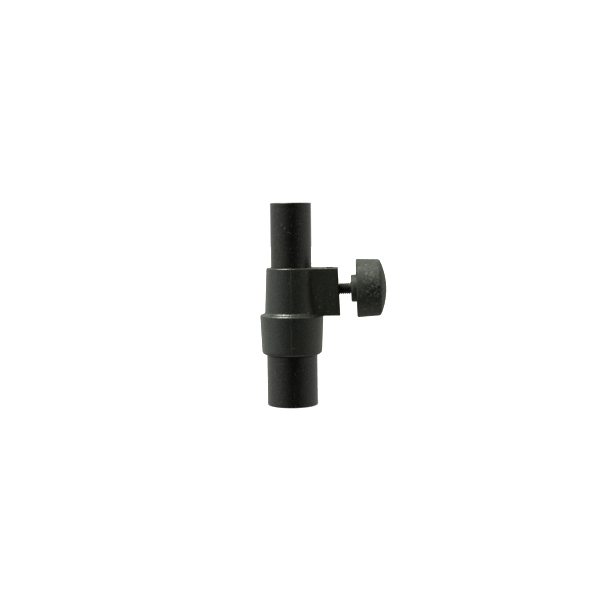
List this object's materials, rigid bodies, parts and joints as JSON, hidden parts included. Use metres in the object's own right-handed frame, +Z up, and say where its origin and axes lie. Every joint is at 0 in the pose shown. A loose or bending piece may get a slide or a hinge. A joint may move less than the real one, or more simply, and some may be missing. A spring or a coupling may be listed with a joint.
{
  "type": "telescoping mast clamp",
  "caption": "Height clamp of a music stand: a moulded collar with a screw knob that grips a thin tube sliding in a thicker one.",
  "frame": {"origin": "centre of the lower tube's bottom end", "axes": "+Z up the mast's axis, +X from the mast towards the knob, +Y to the back as seen with the knob on the right"},
  "size_m": [0.0623, 0.0314, 0.0993],
  "materials": {
    "tube_paint": "satin black powder coat with a fine grain",
    "collar_plastic": "black glass-filled nylon, fine spark-eroded texture",
    "knob_plastic": "black moulded plastic, matte and slightly grey",
    "screw_steel": "blackened steel with a thin oil film",
    "nut_steel": "dull zinc-plated steel",
    "pad_plastic": "dark nylon",
    "guide_plastic": "natural acetal",
    "plug_plastic": "black polyethylene"
  },
  "bodies": {
    "lower_mast": {"lower_tube": "tube_paint", "clamp_collar": "collar_plastic", "clamp_nut": "nut_steel"},
    "guide": {"guide_ring": "guide_plastic"},
    "upper_mast": {"upper_tube": "tube_paint", "end_plug": "plug_plastic"},
    "pad": {"pressure_pad": "pad_plastic"},
    "knob": {"knob_body": "knob_plastic", "clamp_screw": "screw_steel"}
  },
  "joints": [
    {"name": "mast_slide", "type": "slide", "parent": "lower_mast", "child": "guide", "axis": [0, 0, 1], "range_m": [-0.003, 0.0319]},
    {"name": "mast_swivel", "type": "hinge", "parent": "guide", "child": "upper_mast", "pos_m": [0, 0, 0.0075], "axis": [0, 0, 1], "continuous": true},
    {"name": "pad_slide", "type": "slide", "parent": "lower_mast", "child": "pad", "axis": [0.9997, 0, 0.0244], "range_m": [0, 0.003]},
    {"name": "knob_turn", "type": "hinge", "parent": "pad", "child": "knob", "pos_m": [0.0264, 0, 0.0572], "axis": [0.9997, 0, 0.0244], "range_deg": [0, 1080]}
  ],
  "couplings": [
    {"joint": "pad_slide", "follows": "knob_turn", "m_per_rad": 0.00015915}
  ]
}
